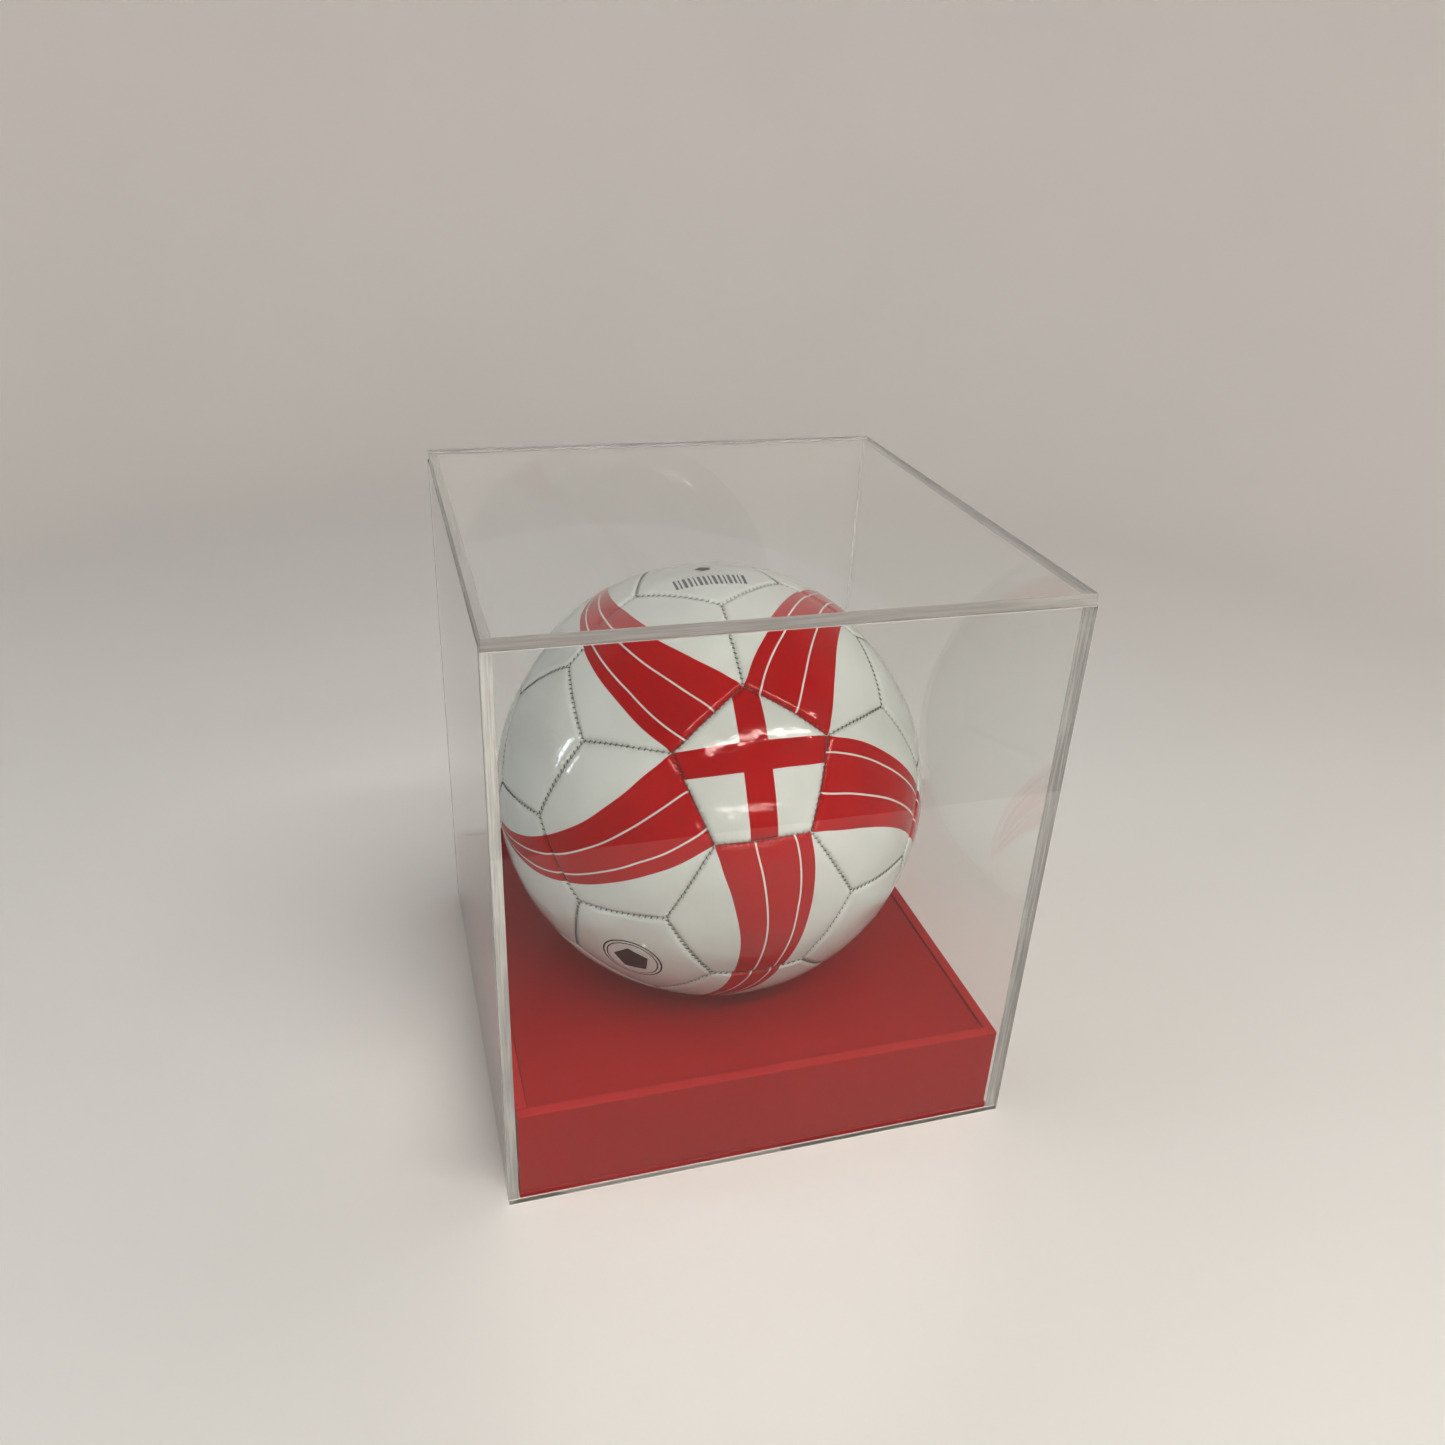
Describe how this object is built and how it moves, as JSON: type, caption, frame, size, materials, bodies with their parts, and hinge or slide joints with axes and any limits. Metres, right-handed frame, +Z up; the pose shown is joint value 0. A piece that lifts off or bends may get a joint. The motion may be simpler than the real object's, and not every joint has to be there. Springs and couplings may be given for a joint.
{
  "type": "football display case",
  "caption": "Clear lift-off cover over a red box base with a round seat, holding a stitched panel football for display.",
  "frame": {"origin": "centre of the cover's footprint, on the surface that the case stands on", "axes": "+Z up, +X to the right and +Y to the back, seen from the front of the case"},
  "size_m": [0.25, 0.25, 0.285],
  "materials": {
    "clear_acrylic": "polished",
    "red_acrylic": "gloss",
    "ball_cover": "gloss",
    "black_rubber": "matte"
  },
  "bodies": {
    "base": {"base_back_wall": "red_acrylic", "base_bottom_plate": "red_acrylic", "base_front_wall": "red_acrylic", "base_left_wall": "red_acrylic", "base_right_wall": "red_acrylic", "base_top_plate": "red_acrylic"},
    "cover": {"cover_back_panel": "clear_acrylic", "cover_front_panel": "clear_acrylic", "cover_left_panel": "clear_acrylic", "cover_right_panel": "clear_acrylic", "cover_top_panel": "clear_acrylic"},
    "ball": {"ball_bladder": "black_rubber", "ball_hexagon_01": "ball_cover", "ball_hexagon_02": "ball_cover", "ball_hexagon_03": "ball_cover", "ball_hexagon_04": "ball_cover", "ball_hexagon_05": "ball_cover", "ball_hexagon_06": "ball_cover", "ball_hexagon_07": "ball_cover", "ball_hexagon_08": "ball_cover", "ball_hexagon_09": "ball_cover", "ball_hexagon_10": "ball_cover", "ball_hexagon_11": "ball_cover", "ball_hexagon_12": "ball_cover", "ball_hexagon_13": "ball_cover", "ball_hexagon_14": "ball_cover", "ball_hexagon_15": "ball_cover", "ball_hexagon_16": "ball_cover", "ball_hexagon_17": "ball_cover", "ball_hexagon_18": "ball_cover", "ball_hexagon_19": "ball_cover", "ball_hexagon_20": "ball_cover", "ball_pentagon_01": "ball_cover", "ball_pentagon_02": "ball_cover", "ball_pentagon_03": "ball_cover", "ball_pentagon_04": "ball_cover", "ball_pentagon_05": "ball_cover", "ball_pentagon_06": "ball_cover", "ball_pentagon_07": "ball_cover", "ball_pentagon_08": "ball_cover", "ball_pentagon_09": "ball_cover", "ball_pentagon_10": "ball_cover", "ball_pentagon_11": "ball_cover", "ball_pentagon_12": "ball_cover", "ball_valve": "black_rubber"}
  },
  "joints": [
    {"name": "cover_lift", "type": "slide", "parent": "base", "child": "cover", "axis": [0, 0, 1], "range_m": [0, 0.3]},
    {"name": "ball_lift", "type": "slide", "parent": "base", "child": "ball", "axis": [0, 0, 1], "range_m": [0, 0.025]}
  ]
}
